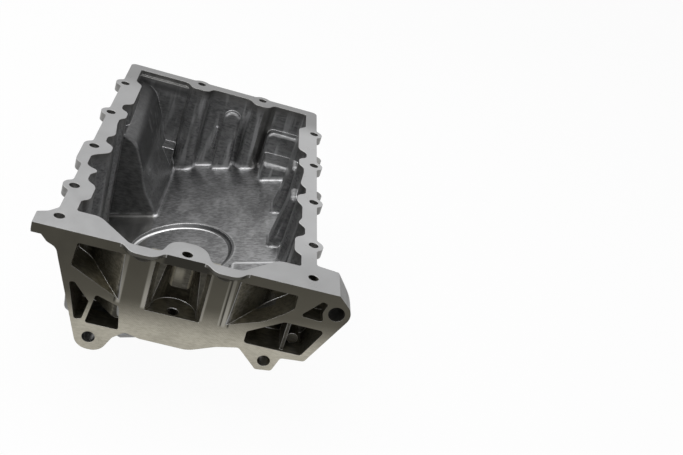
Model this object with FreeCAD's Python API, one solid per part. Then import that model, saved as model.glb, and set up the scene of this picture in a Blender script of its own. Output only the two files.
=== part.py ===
import FreeCAD, Part
import math
import os

from FreeCAD import Vector

# Engine oil pan: one aluminium casting with a scalloped gasket rail, a deep sump whose floor is sloped,
# and a pocketed end face that bolts to the gearbox, plus its drain plug and sealing washer.
# Millimetres. +X right, +Y rearwards from the gearbox end, +Z up out of the gasket face.
# The origin is on the gasket face, midway between the two front corner bolts.

# Rail
RAIL_THICKNESS = 9.0
RAIL_HALF_WIDTH = 108.0
RAIL_REAR_Y = 362.0
RAIL_CORNER = 6.0
LEFT_WING_REACH, RIGHT_WING_REACH = 14.0, 20.0
LEFT_WING_NOTCH, RIGHT_WING_LEAN = 7.5, 1.5
LEFT_WING_X = -RAIL_HALF_WIDTH - LEFT_WING_REACH
LEFT_WING = [(-RAIL_HALF_WIDTH, 12.5, 6.0), (LEFT_WING_X + LEFT_WING_NOTCH, 3.5, 4.0),
             (LEFT_WING_X - 0.5, -1.0, 2.0)]
RIGHT_WING_X = RAIL_HALF_WIDTH + RIGHT_WING_REACH
RIGHT_WING_BACK_X = RIGHT_WING_X - RIGHT_WING_LEAN
RIGHT_WING_FALL = 2.5
BOLT_INSET, REAR_BOLT_INSET = 3.0, 5.8
BOLT_HALF_SPACING = RAIL_HALF_WIDTH - BOLT_INSET
BOLT_ROWS_Y = [0.0, 54.2, 136.5, 218.5, 300.0]
REAR_BOLTS_X = [-27.4, 43.7]
REAR_BOLT_Y = RAIL_REAR_Y - REAR_BOLT_INSET
MIDDLE_BOLT_Y = -11.3
RAIL_BOLT_RADIUS = 4.5
LOBE_RADIUS = 9.7
RIGHT_LOBE_RADIUS = 8.9
LOBE_FILLET = 5.0
HOLLOW_LOBE_RUN = 30.0
LIP_REACH = 9.5
LIP_THICKNESS = 3.0
LIP_X = 34.0
LIP_HALF_LENGTH = 9.0
LIP_RUN = 8.0
LOW_PAD_DROP = 4.0
LOW_PAD_OFFSET = 25.0

# Opening and walls
SIDE_LAND, REAR_LAND = 13.0, 12.0
OPENING_HALF_WIDTH = RAIL_HALF_WIDTH - SIDE_LAND
OPENING_REAR_Y = RAIL_REAR_Y - REAR_LAND
OPENING_CORNER = 2.5
OPENING_FRONT_Y = 14.0
BULGE_FRONT_Y = -15.5
BULGE_OUTER_X, BULGE_INNER_X = 75.0, 46.0
NOSE_X, NOSE_TIP_X, NOSE_Y = 20.5, 13.5, 6.2
REAR_LOBE_STAND = 11.0
REAR_LOBE_Y = OPENING_REAR_Y - REAR_LOBE_STAND
REAR_LOBE_HALVES = [8.5, 7.5]
REAR_LOBE_RUN = 6.5
HOLLOW_REACH = 8.8
HOLLOW_SPAN = [-40.5, -19.5]
WALL = 4.5
OUTSIDE_REACH = 2.3
OUTSIDE_FRONT_REACH = -1.8
OUTSIDE_RUN = 8.0
OUTSIDE_CORNER = 14.0
SOCKET_RADIUS = 11.5
DRAFT_DEG = 1.5
TUB_SPREAD_LEFT, TUB_SPREAD_RIGHT, TUB_SPREAD_REAR = 8.5, 2.0, 2.0
TUB_HALF_WIDTH_LEFT = OPENING_HALF_WIDTH + TUB_SPREAD_LEFT
TUB_HALF_WIDTH_RIGHT = OPENING_HALF_WIDTH + TUB_SPREAD_RIGHT
TUB_REAR_Y = OPENING_REAR_Y + TUB_SPREAD_REAR
TUB_DRAFT_DEG = 5.5
TUB_REAR_DRAFT_DEG = 3.3
TUB_CORNER = 17.5

# Sump floor: it falls to the left, so that it is level when the engine is fitted leaning over
FLOOR_FALL_DEG = 16.9
FLOOR_RISE_DEG = 2.35
FLOOR_Z = -107.5
FLOOR_THICKNESS = 7.0
SHELF_Z = -66.0
SHELF_THICKNESS = 5.0
LOW_FRONT_Y = 26.0
LOW_CORNER_X = -40.0
LOW_CORNER_Y = 76.0
FLOOR_FILLET = 5.0
FOOT_FILLET = 3.0
COVER_MARGIN = 8.0
OUTER_FILLET = 10.0

# Gearbox-end face
FACE_Y = -18.5
PLATE_THICKNESS = 16.0
BLOCK_DEPTH = 37.0
POCKET_WEB = 3.5
POCKET_RIB_X = 95.5
POCKET_RIB_RECESS = 3.0
POCKET_RIB_THICKNESS = 3.0
POCKET_BOSS_X, POCKET_BOSS_Z = 103.0, -59.0
POCKET_BOSS_RADIUS = 5.0
POCKET_BOSS_RECESS = 12.0
SMALL_POCKET_DEPTH = 18.0
LEFT_BOX_X = [-97.0, -36.0]
LEFT_BOX_LOW_Z = -85.5
RIGHT_BLOCK_X = [58.0, 99.0]
RIGHT_BLOCK_LOW_Z = -71.0
LEFT_EAR_X, LEFT_EAR_Z = -62.0, -96.0
RIGHT_EAR_X, RIGHT_EAR_Z = 84.0, -80.0
EAR_HOLE_RADIUS = 5.5
EAR_RADIUS = 12.5
RIGHT_EAR_DEPTH = 22.0
LUG_REACH = 2.0
LUG_X, LUG_Z = RIGHT_WING_X + LUG_REACH, -18.0
LUG_HOLE_RADIUS = 7.0
# Side of the block behind the lug: (distance right of its axis, distance behind the end face, radius).
LUG_TAPER = [(13.0, 4.5, 0), (9.0, 22.5, 30.0)]
NICHE_HALF_WIDTH, NICHE_MOUTH_HALF_WIDTH = 24.0, 23.0
NICHE_FLOOR_Z = -57.0
NICHE_TOP_RADIUS = 13.0
NICHE_BOTTOM_RADIUS = 19.5
MIDDLE_BOSS_RADIUS = 9.5
MIDDLE_BOSS_LENGTH = 28.0
ACCESS_HOLE_RADIUS = 5.0

# Forms inside the sump
HAUNCH_FRONT_Y = 230.0
HAUNCH_FLANK = [(-88.0, -26.5, 0), (-74.5, -31.5, 22), (-61.5, -62.0, 70), (-58.0, -79.0, 70),
                (-37.0, -111.5, 0)]
HAUNCH_RISE = 0.125
HAUNCH_EDGE_FILLET = 3.0
HAUNCH_OUTSIDE = [(-88, -33, 0), (-76.5, -38, 10), (-68, -62, 20), (-63, -82, 20), (-43, -116, 0)]
HAUNCH_FOOT_FILLET = 4.0
RING_X, RING_Y = -5.9, 162.0
RING_RADIUS = 52.4
RING_DEPTH = 3.5
RING_SLOPE_WIDTH = 4.0
TONGUE_X = 15.5
TONGUE_HALF_WIDTH = 10.0
TONGUE_TOP_Z = -18.0
TONGUE_STAND = 7.0
TONGUE_LEAN_DEG = 4.4
TONGUE_EDGE_RADIUS = 3.5
RIDGE_WIDTH = 2.5
RIDGE_STAND = 4.0
RIDGE_TOP_Z, RIDGE_LOW_Z = -42.0, -68.0
LEDGE_STAND = 4.0
LEDGE_Z = -5.0
LEDGE_END_X = -39.4
STEP_REACH, UPPER_STEP_REACH, LOWER_STEP_REACH = 37.0, 12.0, 43.0
STEP_X = OPENING_HALF_WIDTH - STEP_REACH
STEP_SET_BACK = 2.0
STEP_CORNER, LOWER_STEP_CORNER = 8.0, 4.0
STEP_EDGE_FILLET, LOWER_STEP_EDGE_FILLET = 4.0, 6.0
UPPER_STEP_Y, UPPER_STEP_Z = OPENING_REAR_Y - UPPER_STEP_REACH, -28.0
LOWER_STEP_Y, LOWER_STEP_Z = OPENING_REAR_Y - LOWER_STEP_REACH, -53.0
BLOCK_X = [-63.0, -40.0]
BLOCK_REACH, BLOCK_Z = 24.0, -74.0
BUTTRESS_Y = [166.0, 234.0]
BUTTRESS_WIDTH, BUTTRESS_STAND = 20.0, 9.0
BUTTRESS_TOP_X, BUTTRESS_TOP_Z = OPENING_HALF_WIDTH - BUTTRESS_STAND, -15.0
BUTTRESS_LEAN_DEG = 8.0
BUTTRESS_ROUND = 5.0
FRONT_STEP_X, FRONT_STEP_Y = 43.0, 133.0
FRONT_STEP_HEIGHT = 7.0
FRONT_STEP_CORNER = 8.0
FRONT_STEP_FILLET = 5.5

# Drain
DRAIN_Y, DRAIN_Z = 150.0, -114.0
DRAIN_FACE_X, DRAIN_ROOT_X = -105.0, -80.0
DRAIN_BOSS_RADIUS = 15.0
DRAIN_HOLE_RADIUS = 7.0
THREAD_CLEARANCE = 0.2
PLUG_SHANK_LENGTH = 12.0
PLUG_COLLAR_RADIUS = 11.0
PLUG_COLLAR_THICKNESS = 2.5
PLUG_ACROSS_FLATS = 17.0
PLUG_HEAD_HEIGHT = 7.0
PLUG_CROWN_SLOPE = 1.2
WASHER_THICKNESS = 1.5
WASHER_RADIUS = 11.0

BIG = 400.0
OVERCUT = 5.0
ROUND_SHARE = 0.96
NEAR = 0.01
DOWN = Vector(0, 0, -1)


def turn_angles(corners):
    after = [following - corner for corner, following in zip(corners, corners[1:] + corners[:1])]
    return [after[i - 1].getAngle(after[i]) for i in range(len(corners))]


def fitting_radii(points):
    """Radius of each corner (x, y, radius), made smaller where its arc would run past the next one."""
    corners = [Vector(x, y, 0) for x, y, radius in points]
    halves = [math.tan(turn / 2) for turn in turn_angles(corners)]
    reaches = [radius * half for (x, y, radius), half in zip(points, halves)]
    count = len(points)
    radii = []
    for i, (x, y, radius) in enumerate(points):
        for k in (i - 1, (i + 1) % count):
            if radius > 0:
                share = ROUND_SHARE * (corners[i] - corners[k]).Length / (reaches[i] + reaches[k])
                radius = min(radius, points[i][2] * share)
        radii.append(round(radius, 3))
    return radii


def rounded(points, z=0.0):
    """Closed wire through corners (x, y, radius); each corner is an arc tangent to both its sides."""
    corners = [Vector(x, y, z) for x, y, radius in points]
    count = len(corners)
    turns, radii = turn_angles(corners), fitting_radii(points)
    reaches = [radius * math.tan(turn / 2) for radius, turn in zip(radii, turns)]
    edges = []
    for i, corner in enumerate(corners):
        following = corners[(i + 1) % count]
        before = (corners[i - 1] - corner).normalize()
        after = (following - corner).normalize()
        end = corner + after * reaches[i]
        if radii[i] > 0:
            inwards = (before + after).normalize()
            middle = corner + inwards * (radii[i] / math.cos(turns[i] / 2) - radii[i])
            edges.append(Part.Arc(corner + before * reaches[i], middle, end).toShape())
        edges.append(Part.LineSegment(end, following - after * reaches[(i + 1) % count]).toShape())
    return Part.Wire(edges)


def prism(points, z_low, z_high):
    """Upright solid over an outline of (x, y, radius) corners."""
    return Part.Face(rounded(points, z_low)).extrude(Vector(0, 0, z_high - z_low))


def face_prism(points, y_front, y_back):
    """Solid along Y over an outline of (x, z, radius) corners in the end face."""
    solid = Part.Face(rounded(points)).extrude(Vector(0, 0, y_back - y_front))
    solid.rotate(Vector(0, 0, 0), Vector(1, 0, 0), 90)
    solid.translate(Vector(0, y_back, 0))
    return solid


def box(x_low, x_high, y_low, y_high, z_low, z_high):
    return Part.makeBox(x_high - x_low, y_high - y_low, z_high - z_low, Vector(x_low, y_low, z_low))


def slope(degrees):
    return math.tan(math.radians(degrees))


def floor_height(x, y, z_at_origin):
    return z_at_origin + x * slope(FLOOR_FALL_DEG) + y * slope(FLOOR_RISE_DEG)


def below_floor(z_at_origin):
    """Everything under the sloped plane that passes z_at_origin at x = y = 0."""
    corners = [Vector(x, y, floor_height(x, y, z_at_origin))
               for x, y in ((-BIG, -BIG), (BIG, -BIG), (BIG, 2 * BIG), (-BIG, 2 * BIG))]
    return Part.Face(Part.makePolygon(corners + corners[:1])).extrude(Vector(0, 0, -BIG))


# Each side of the opening steps in round the bolts and out between them. Each line of stations goes with
# one bolt row: (distance behind that bolt, reach from the middle line less OPENING_HALF_WIDTH, radius).
SIDE_STATIONS = [
    [(32.5, -0.7, 5.0)],
    [(-17.0, -7.0, 9.0), (7.0, -7.0, 10.0), (14.5, 2.2, 9.0), (27.5, 2.0, 9.0), (35.5, -4.5, 4.0)],
    [(-37.0, -1.0, 14.0), (-13.0, -1.0, 10.0), (-6.0, -6.3, 9.0), (7.0, -6.3, 9.0), (14.0, 2.3, 7.0),
     (25.5, 2.3, 7.0), (31.5, -3.8, 11.0)],
    [(-23.0, -0.6, 30.0), (-11.0, -0.6, 8.5), (-6.0, -5.8, 7.5), (8.0, -5.8, 8.0), (14.0, 2.0, 8.0),
     (26.5, 2.0, 8.0)],
    [(-49.5, -7.0, 9.0), (5.5, -7.0, 10.0), (13.5, 0.5, 8.0)]]
# On the left the stretch before the third bolt is one deep hollow instead.
LEFT_HOLLOW = [(HOLLOW_SPAN[0], HOLLOW_REACH, 9.0), (HOLLOW_SPAN[1], HOLLOW_REACH, 12.0)]


def side_corners(side, shrink):
    corners = []
    for row_y, stations in zip(BOLT_ROWS_Y, SIDE_STATIONS):
        if side < 0 and row_y == BOLT_ROWS_Y[2]:
            stations = LEFT_HOLLOW + stations[len(LEFT_HOLLOW):]
        corners += [(side * (OPENING_HALF_WIDTH + reach - shrink), row_y + behind, radius)
                    for behind, reach, radius in stations]
    return corners


def front_corners(side_x, shrink, corner):
    """Corners of the opening's front edge, left to right: it bulges forwards beside the middle."""
    half = [(side_x, OPENING_FRONT_Y, corner), (BULGE_OUTER_X, OPENING_FRONT_Y, 14.0),
            (BULGE_INNER_X, BULGE_FRONT_Y, 8.0), (NOSE_X, BULGE_FRONT_Y, 5.0), (NOSE_TIP_X, NOSE_Y, 15.0)]
    left = [(-x, y + shrink, radius) for x, y, radius in half]
    return left + [(x, y + shrink, radius) for x, y, radius in reversed(half)]


def opening(z):
    """Corners of the opening at height z; the walls close in with depth."""
    shrink = -z * slope(DRAFT_DEG)
    rear_x = OPENING_HALF_WIDTH + SIDE_STATIONS[-1][-1][1] - shrink
    rear = [(rear_x, OPENING_REAR_Y, OPENING_CORNER)]
    for bolt_x, half in zip(reversed(REAR_BOLTS_X), reversed(REAR_LOBE_HALVES)):
        rear += [(bolt_x + half + REAR_LOBE_RUN, OPENING_REAR_Y, 6.0), (bolt_x + half, REAR_LOBE_Y, 8.0),
                 (bolt_x - half, REAR_LOBE_Y, 8.0), (bolt_x - half - REAR_LOBE_RUN, OPENING_REAR_Y, 6.0)]
    rear += [(-rear_x, OPENING_REAR_Y, OPENING_CORNER)]
    rear = [(x, y - shrink, radius) for x, y, radius in rear]
    front = front_corners(OPENING_HALF_WIDTH + SIDE_STATIONS[0][0][1] - shrink, shrink, OPENING_CORNER)
    return front + side_corners(1, shrink) + rear + list(reversed(side_corners(-1, shrink)))


def outside(z):
    """Corners of the plain outside of the walls at height z: it swells round the deep left hollow, and in
    front of the first bolt on the left it stands further in."""
    shrink = -z * slope(DRAFT_DEG) - WALL
    side_x, hollow_x, front_x = [OPENING_HALF_WIDTH + reach - shrink
                                 for reach in (OUTSIDE_REACH, HOLLOW_REACH, OUTSIDE_FRONT_REACH)]
    hollow_y = [BOLT_ROWS_Y[2] + behind for behind in HOLLOW_SPAN]
    front = front_corners(side_x, shrink, OUTSIDE_CORNER)
    front[0] = (-front_x,) + front[0][1:]
    rear = [(x, OPENING_REAR_Y - shrink, OUTSIDE_CORNER) for x in (side_x, -side_x)]
    swell = [(-side_x, hollow_y[1] + OUTSIDE_RUN, 6.0), (-hollow_x, hollow_y[1], 6.0),
             (-hollow_x, hollow_y[0], 6.0), (-side_x, hollow_y[0] - OUTSIDE_RUN, 6.0)]
    return front + rear + swell + [(-side_x, BOLT_ROWS_Y[1], 0), (-front_x, BOLT_ROWS_Y[1], 0)]


def drafted(top, z_top, bottom, z_bottom):
    """Flat-sided solid between two outlines of (x, y, radius) corners with parallel sides; each upright edge
    is rounded by the radius of its corner."""
    upper = [Vector(x, y, z_top) for x, y, radius in top]
    lower = [Vector(x, y, z_bottom) for x, y, radius in bottom]
    faces = [Part.Face(Part.makePolygon(points + points[:1])) for points in (upper, lower)]
    for i in range(len(top)):
        side = [upper[i - 1], upper[i], lower[i], lower[i - 1], upper[i - 1]]
        faces.append(Part.Face(Part.makePolygon(side)))
    solid = Part.Solid(Part.Shell(faces))
    if solid.Volume < 0:
        solid.reverse()
    smallest = [min(pair) for pair in zip(fitting_radii(top), fitting_radii(bottom))]
    for radius in sorted(set(smallest) - {0}):
        corners = [corner for corner, own in zip(upper, smallest) if own == radius]
        edges = [edge for edge in solid.Edges if edge.BoundBox.ZLength > 1.0 and any(
            (vertex.Point - corner).Length < NEAR for vertex in edge.Vertexes for corner in corners)]
        solid = solid.makeFillet(radius, edges)
    return solid


def tub(grow, floor_z, shelf_z, corner, fillet):
    """Plain drafted tub that bounds the sump: flat sides, sloped floor, and a raised shelf at the front.
    The fillet runs along the floor's edges, but not along a rear edge that meets sharp corners."""
    z_low = -BIG / 2
    sides = []
    for z in (OVERCUT, z_low):
        lean = z * slope(TUB_DRAFT_DEG) + grow
        left, right = -TUB_HALF_WIDTH_LEFT - lean, TUB_HALF_WIDTH_RIGHT + lean
        rear, front = TUB_REAR_Y + z * slope(TUB_REAR_DRAFT_DEG) + grow, BULGE_FRONT_Y - OVERCUT - grow
        sides.append([(left, front, 0), (right, front, 0), (right, rear, corner), (left, rear, corner)])
    solid = drafted(sides[0], OVERCUT, sides[1], z_low).cut(below_floor(floor_z))
    low_front = LOW_FRONT_Y - grow
    diagonal = (LOW_CORNER_Y - LOW_FRONT_Y) / (TUB_HALF_WIDTH_LEFT + LOW_CORNER_X)
    corner_y = LOW_CORNER_Y - grow * math.hypot(1.0, diagonal)
    edge_y = corner_y + diagonal * (BIG - TUB_HALF_WIDTH_LEFT)
    step = prism([(-BIG, -BIG, 0), (BIG, -BIG, 0), (BIG, low_front, 0),
                  (-TUB_HALF_WIDTH_LEFT + (corner_y - low_front) / diagonal, low_front, 0),
                  (-BIG, edge_y, 0)], z_low - OVERCUT, shelf_z)
    solid = solid.cut(step)
    rear_y = TUB_REAR_Y + floor_z * slope(TUB_REAR_DRAFT_DEG)
    edges = [edge for edge in floor_edges(solid, floor_z)
             if corner > 0 or edge.BoundBox.YMin < rear_y - TUB_CORNER]
    return solid.makeFillet(fillet, edges)


def floor_edges(solid, floor_z, x_low=-BIG, x_high=BIG, y_low=-BIG, y_high=BIG):
    """Edges that lie in the sloped floor plane, within the given bounds."""
    found = []
    for edge in solid.Edges:
        bounds = edge.BoundBox
        within_x = bounds.XMin > x_low and bounds.XMax < x_high
        within_y = bounds.YMin > y_low and bounds.YMax < y_high
        if within_x and within_y and edge.Length > NEAR:
            middle = edge.valueAt(sum(edge.ParameterRange) / 2)
            points = [vertex.Point for vertex in edge.Vertexes] + [middle]
            if all(abs(p.z - floor_height(p.x, p.y, floor_z)) < NEAR for p in points):
                found.append(edge)
    return found


def footed(form, floor_z, radius):
    """A form that stands on the floor, joined to the ground below it with a fillet round its foot."""
    ground = below_floor(floor_z).fuse(form).removeSplitter()
    foot = floor_edges(ground, floor_z, -BIG + 1, BIG - 1, -BIG + 1, 2 * BIG - 1)
    return ground.makeFillet(radius, foot)


def haunch(flank, y_front):
    """All below the haunch's flank, which falls from the left wall to the floor and rises to the rear."""
    low, left = -BIG / 2, -BIG / 2
    profile = rounded([(left, low, 0), (flank[-1][0], low, 0)] + flank[::-1] + [(left, flank[0][1], 0)])
    profile.rotate(Vector(0, 0, 0), Vector(1, 0, 0), 90)
    profile.translate(Vector(0, y_front, 0))
    return Part.Face(profile).extrude(Vector(0, 1, HAUNCH_RISE) * (OPENING_REAR_Y + OVERCUT - y_front))


def rear_step(x, y, z, corner, fillet, grow):
    left, top = x + grow, z - grow
    step = face_prism([(left, -BIG, 0), (BIG, -BIG, 0), (BIG, top, 0), (left, top, corner)], y + grow, BIG)
    return round_front(step, y + grow, fillet)


def rear_steps(grow):
    """Two stacked steps in the right rear corner of the sump."""
    upper = rear_step(STEP_X, UPPER_STEP_Y, UPPER_STEP_Z, STEP_CORNER, STEP_EDGE_FILLET, grow)
    lower = rear_step(STEP_X + STEP_SET_BACK, LOWER_STEP_Y, LOWER_STEP_Z, LOWER_STEP_CORNER,
                      LOWER_STEP_EDGE_FILLET, grow)
    return upper.fuse(lower)


def buttress(y):
    """Leaning buttress with a rounded top on the right wall."""
    low_x = BUTTRESS_TOP_X - (BIG + BUTTRESS_TOP_Z) * slope(BUTTRESS_LEAN_DEG)
    solid = face_prism([(low_x, -BIG, 0), (BIG, -BIG, 0), (BIG, BUTTRESS_TOP_Z, 0),
                        (BUTTRESS_TOP_X, BUTTRESS_TOP_Z, BUTTRESS_ROUND)], y, y + BUTTRESS_WIDTH)
    return round_front(solid, y, BUTTRESS_ROUND)


def round_front(solid, y, radius):
    """Rounds the edges of the face that looks towards the gearbox end, where they lie within the sump."""
    edges = [edge for edge in solid.Edges
             if abs(edge.BoundBox.YMin - y) < NEAR and abs(edge.BoundBox.YMax - y) < NEAR
             and edge.BoundBox.ZMax > -0.5 * BIG and edge.BoundBox.XMin < 0.5 * BIG]
    return solid.makeFillet(radius, edges)


def tongue():
    """Round-topped tongue on the rear wall; its front leans forward towards the floor."""
    low, high = TONGUE_X - TONGUE_HALF_WIDTH, TONGUE_X + TONGUE_HALF_WIDTH
    face_y = OPENING_REAR_Y - TONGUE_STAND
    solid = face_prism([(low, -BIG, 0), (high, -BIG, 0), (high, TONGUE_TOP_Z, TONGUE_HALF_WIDTH),
                        (low, TONGUE_TOP_Z, TONGUE_HALF_WIDTH)], face_y, BIG)
    solid = round_front(solid, face_y, TONGUE_EDGE_RADIUS)
    solid.rotate(Vector(0, face_y, TONGUE_TOP_Z), Vector(1, 0, 0), -TONGUE_LEAN_DEG)
    return solid


def front_step():
    """Low raised step at the right front of the floor, with a rounded edge."""
    outline = [(FRONT_STEP_X, -BIG, 0), (BIG, -BIG, 0), (BIG, FRONT_STEP_Y, 0),
               (FRONT_STEP_X, FRONT_STEP_Y, FRONT_STEP_CORNER)]
    top_z = FLOOR_Z + FRONT_STEP_HEIGHT
    step = prism(outline, -BIG / 2, 0.0).common(below_floor(top_z))
    edges = [edge for edge in floor_edges(step, top_z)
             if edge.BoundBox.XMin < BIG / 2 and edge.BoundBox.YMax > 0]
    return step.makeFillet(FRONT_STEP_FILLET, edges)


def floor_normal():
    return Vector(-slope(FLOOR_FALL_DEG), -slope(FLOOR_RISE_DEG), 1).normalize()


def make_cavity():
    """The space inside the sump, with every inner form already taken out of it or added to it."""
    cavity = drafted(opening(OVERCUT), OVERCUT, opening(-BIG / 2), -BIG / 2)
    cavity = cavity.common(tub(0.0, FLOOR_Z, SHELF_Z, 0.0, FLOOR_FILLET))
    # The floor's rear edge ends square inside the haunch and the steps, which cover it there.
    left_x, left_z = HAUNCH_FLANK[-2][0], HAUNCH_FLANK[-2][1] - COVER_MARGIN
    right_x, right_z = STEP_X + STEP_SET_BACK + COVER_MARGIN, LOWER_STEP_Z - COVER_MARGIN
    cover_y = LOWER_STEP_Y + COVER_MARGIN
    cavity = cavity.cut([box(-BIG, left_x, cover_y, BIG, -BIG, left_z),
                         box(right_x, BIG, cover_y, BIG, -BIG, right_z)])
    rear = floor_edges(cavity, FLOOR_Z, left_x - 1.0, right_x + 1.0, REAR_LOBE_Y - FLOOR_FILLET)
    cavity = cavity.makeFillet(FOOT_FILLET, rear)
    rounded_haunch = round_front(haunch(HAUNCH_FLANK, HAUNCH_FRONT_Y), HAUNCH_FRONT_Y, HAUNCH_EDGE_FILLET)
    cavity = cavity.cut(footed(rounded_haunch, FLOOR_Z, HAUNCH_FOOT_FILLET))
    cavity = cavity.cut(footed(rear_steps(0.0), FLOOR_Z, FOOT_FILLET))
    cavity = cavity.cut(footed(tongue(), FLOOR_Z, FOOT_FILLET))
    for y in BUTTRESS_Y:
        cavity = cavity.cut(footed(buttress(y), FLOOR_Z, FOOT_FILLET))
    cavity = cavity.cut(niche_cone(WALL, 0.0, SHELF_Z - OVERCUT))
    cavity = cavity.cut(box(-NICHE_HALF_WIDTH - WALL, NICHE_HALF_WIDTH + WALL, -BIG, MIDDLE_BOLT_Y + WALL,
                            -BIG, WALL - RAIL_THICKNESS))
    # Thin ridge on the rear wall, narrow ledge high in its left corner, block low beside the haunch.
    ridge = box(0.0, RIDGE_WIDTH, OPENING_REAR_Y - RIDGE_STAND, BIG, RIDGE_LOW_Z, RIDGE_TOP_Z)
    ledge = box(-BIG, LEDGE_END_X, OPENING_REAR_Y - LEDGE_STAND, BIG, -BIG, LEDGE_Z)
    block = box(BLOCK_X[0], BLOCK_X[1], OPENING_REAR_Y - BLOCK_REACH, BIG, -BIG, BLOCK_Z)
    for form in (ridge, ledge, block, front_step()):
        cavity = cavity.cut(form)
    # Shallow round recess with a sloped edge, square to the floor.
    normal = floor_normal()
    centre = Vector(RING_X, RING_Y, floor_height(RING_X, RING_Y, FLOOR_Z))
    flare = RING_SLOPE_WIDTH / RING_DEPTH
    recess = Part.makeCone(RING_RADIUS - RING_SLOPE_WIDTH, RING_RADIUS + flare, RING_DEPTH + 1.0,
                           centre - normal * RING_DEPTH, normal)
    return cavity.fuse(recess)


def make_shell():
    """Outside of the sump: its main forms, one wall thickness further out, with a flute below each rail
    bolt in which a socket passes."""
    shell = drafted(outside(0.0), 0.0, outside(-BIG / 2), -BIG / 2)
    shell = shell.common(tub(WALL, FLOOR_Z - FLOOR_THICKNESS, SHELF_Z - SHELF_THICKNESS, TUB_CORNER,
                             OUTER_FILLET))
    below_haunch = haunch(HAUNCH_OUTSIDE, HAUNCH_FRONT_Y + WALL)
    shell = shell.cut(below_haunch.common(box(-BIG, BIG, 0, BIG, -BIG, -RAIL_THICKNESS)))
    flutes = [Part.makeCylinder(SOCKET_RADIUS, BIG, Vector(x, y, -RAIL_THICKNESS), DOWN)
              for x, y in bolt_places() if y > BOLT_ROWS_Y[0]]
    return shell.cut([rear_steps(WALL)] + flutes)


def rail_outline():
    """Straight edges of the rail with its two front wings and lips, from the left wing to the right."""
    lip = FACE_Y - LIP_REACH
    back = FACE_Y + BLOCK_DEPTH
    corners = [(LEFT_WING_X, FACE_Y, 1.0)]
    for x in (-LIP_X, LIP_X):
        foot = LIP_HALF_LENGTH + LIP_RUN
        corners += [(x - foot, FACE_Y, 5.0), (x - LIP_HALF_LENGTH, lip, 11.0),
                    (x + LIP_HALF_LENGTH, lip, 11.0), (x + foot, FACE_Y, 5.0)]
    return corners + [
        (RIGHT_WING_X, FACE_Y, 0.0), (RIGHT_WING_BACK_X, back, 3.0),
        (RAIL_HALF_WIDTH, back + RIGHT_WING_FALL, 3.0),
        (RAIL_HALF_WIDTH, RAIL_REAR_Y, RAIL_CORNER), (-RAIL_HALF_WIDTH, RAIL_REAR_Y, RAIL_CORNER)] + LEFT_WING


def lobe(x, y, radius, out, before=0.0):
    """Round swelling of the rail's edge at a bolt. out is the unit vector away from the rail; a fillet joins
    each side to the straight edge, and before draws the lobe out that far along the edge."""
    along = Vector(-out.y, out.x, 0)
    bolt = Vector(x, y, -RAIL_THICKNESS)
    edge_x = abs(out.x) * RAIL_HALF_WIDTH + abs(out.y) * RAIL_REAR_Y
    inset = edge_x - abs(bolt.dot(out))
    reach = math.sqrt((radius + LOBE_FILLET) ** 2 - (LOBE_FILLET + inset) ** 2)
    share = radius / (radius + LOBE_FILLET)

    def at(along_edge, from_bolt):
        return bolt + along * along_edge + out * from_bolt

    low = -before
    touch, rise = reach * share, (LOBE_FILLET + inset) * share
    middle = math.atan2(reach, LOBE_FILLET + inset) / 2
    mid_x, mid_rise = radius * math.sin(middle), radius * math.cos(middle)
    bend_x = reach - LOBE_FILLET * math.sin(middle)
    bend_rise = inset + LOBE_FILLET * (1 - math.cos(middle))
    edges = [
        Part.Arc(at(low - reach, inset), at(low - bend_x, bend_rise), at(low - touch, rise)).toShape(),
        Part.Arc(at(low - touch, rise), at(low - mid_x, mid_rise), at(low, radius)).toShape(),
        Part.Arc(at(0, radius), at(mid_x, mid_rise), at(touch, rise)).toShape(),
        Part.Arc(at(touch, rise), at(bend_x, bend_rise), at(reach, inset)).toShape(),
        Part.LineSegment(at(reach, inset), at(reach, 0)).toShape(),
        Part.LineSegment(at(reach, 0), at(low - reach, 0)).toShape(),
        Part.LineSegment(at(low - reach, 0), at(low - reach, inset)).toShape()]
    if before > 0:
        edges.insert(2, Part.LineSegment(at(low, radius), at(0, radius)).toShape())
    return Part.Face(Part.Wire(edges)).extrude(Vector(0, 0, RAIL_THICKNESS))


def make_lobes():
    left, right, rear = Vector(-1, 0, 0), Vector(1, 0, 0), Vector(0, 1, 0)
    lobes = [lobe(BOLT_HALF_SPACING, y, RIGHT_LOBE_RADIUS, right) for y in BOLT_ROWS_Y[1:]]
    lobes += [lobe(x, REAR_BOLT_Y, LOBE_RADIUS, rear) for x in REAR_BOLTS_X]
    # The third lobe on the left runs on beside the deep hollow.
    runs = [0.0, HOLLOW_LOBE_RUN, 0.0, 0.0]
    lobes += [lobe(-BOLT_HALF_SPACING, y, LOBE_RADIUS, left, run).mirror(Vector(0, y, 0), Vector(0, 1, 0))
              for y, run in zip(BOLT_ROWS_Y[1:], runs)]
    return lobes


FACE_OUTLINE = [
    (LEFT_WING_X, 0.0, 0.0), (LEFT_WING_X, -8.0, 1.5), (LEFT_WING_X + LEFT_WING_NOTCH, -8.0, 3.0),
    (LEFT_WING_X + 13.5, -14.5, 4.0), (LEFT_WING_X + 21.5, -18.0, 8.0),
    (-97.0, -29.0, 10.0), (-70.4, -108.5, EAR_RADIUS), (-51.0, -108.5, EAR_RADIUS), (-43.0, -91.5, 4.0),
    (-34.0, -83.5, 5.0), (-21.0, -86.5, 10.0), (20.0, -87.0, 25.0), (42.0, -77.0, 30.0), (60.5, -72.5, 4.0),
    (79.0, -90.5, 3.0), (92.5, -88.5, 3.0), (97.0, -73.5, 3.0), (117.0, -71.5, 3.0),
    (LUG_X + 14.5, LUG_Z + 3.0, EAR_RADIUS), (RIGHT_WING_X, 0.0, 0.0)]

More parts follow.
